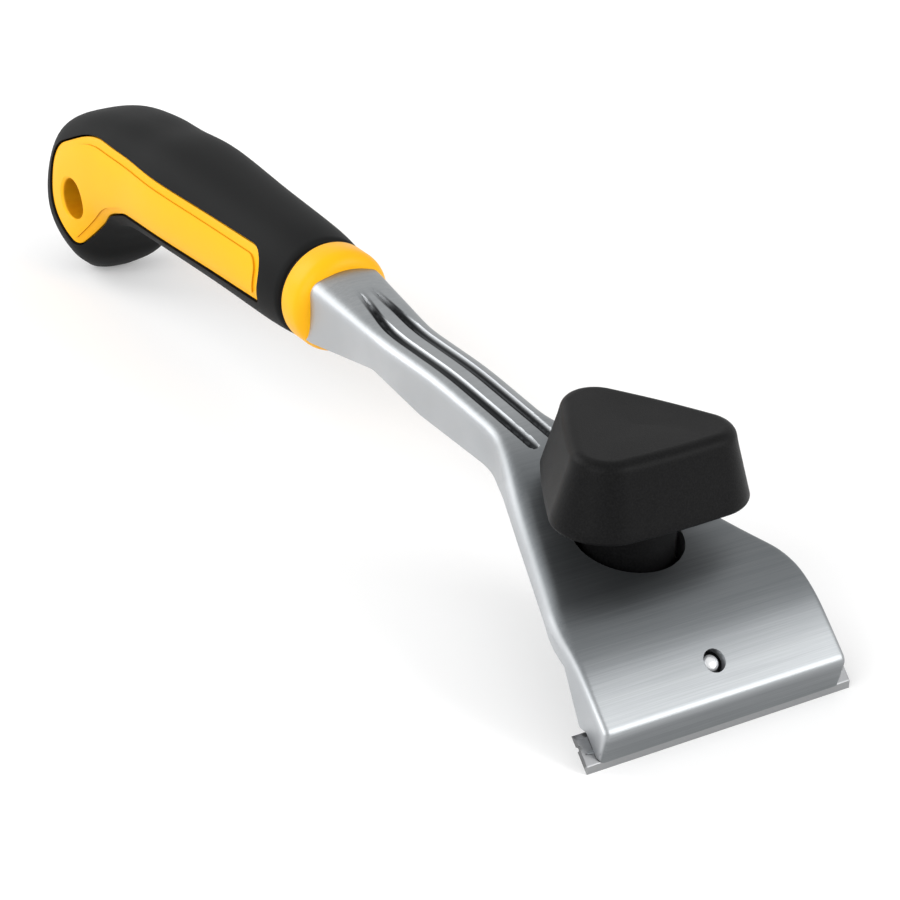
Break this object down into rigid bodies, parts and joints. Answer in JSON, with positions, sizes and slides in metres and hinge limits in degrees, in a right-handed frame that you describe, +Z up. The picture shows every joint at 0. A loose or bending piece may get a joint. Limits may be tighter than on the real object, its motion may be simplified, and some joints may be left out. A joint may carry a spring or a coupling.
{
  "type": "paint scraper",
  "caption": "Two-handed paint scraper: pressed steel shank with a clamped reversible blade, a three-lobed clamp knob and a two-material handle with a hooked end",
  "frame": {"origin": "on the bench surface that the tool lies on, under the middle of its bounding box", "axes": "+X from the handle to the cutting edge, +Y across the blade, +Z up from the bench"},
  "size_m": [0.283, 0.065, 0.0528],
  "materials": {
    "pressed_steel": "satin nickel plate on pressed sheet, brushed along the tool",
    "blade_steel": "ground steel with a fine edge bevel",
    "plated_steel": "zinc plate",
    "black_plastic": "fine grained moulding",
    "yellow_plastic": "satin moulding",
    "soft_black": "soft matt overmoulding"
  },
  "bodies": {
    "frame": {"shank": "pressed_steel", "thrust_washer": "plated_steel", "handle_core": "yellow_plastic", "handle_grip": "soft_black"},
    "knob": {"knob": "black_plastic", "clamp_bolt": "plated_steel"},
    "clamp": {"clamp_plate": "plated_steel", "clamp_nut": "plated_steel", "guide_pin": "blade_steel", "blade": "blade_steel"}
  },
  "joints": [
    {"name": "knob_turn", "type": "hinge", "parent": "frame", "child": "knob", "pos_m": [0.10535, 0, 0.03], "axis": [0, 0, 1], "range_deg": [0, 1080]},
    {"name": "clamp_slide", "type": "slide", "parent": "frame", "child": "clamp", "axis": [0, 0, -1], "range_m": [0, 0.00375]}
  ],
  "couplings": [
    {"joint": "knob_turn", "follows": "clamp_slide", "rad_per_m": 5026.5}
  ]
}
